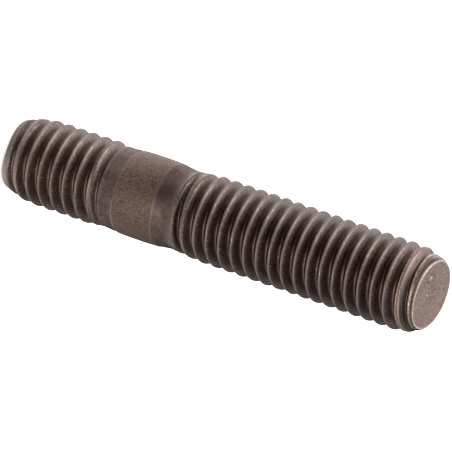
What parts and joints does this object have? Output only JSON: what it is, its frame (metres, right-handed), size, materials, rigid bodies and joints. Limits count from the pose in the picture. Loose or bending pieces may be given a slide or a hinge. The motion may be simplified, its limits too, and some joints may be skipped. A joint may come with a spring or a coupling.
{
  "type": "double-ended stud",
  "caption": "Steel stud with a right-hand thread on both ends and a short plain shank between them. The short end screws into a casting, and a nut goes on the long end.",
  "frame": {"origin": "centre of the flat face of the short tap end, on which the stud stands", "axes": "+Z along the axis, from the tap end to the nut end. X and Y are free, because the section is round."},
  "size_m": [0.0078, 0.0078, 0.0413],
  "materials": {
    "steel": "dark brown-grey phosphate coat, oiled, satin, brighter on the thread crests"
  },
  "bodies": {
    "root": {"stud": "steel"}
  },
  "joints": []
}
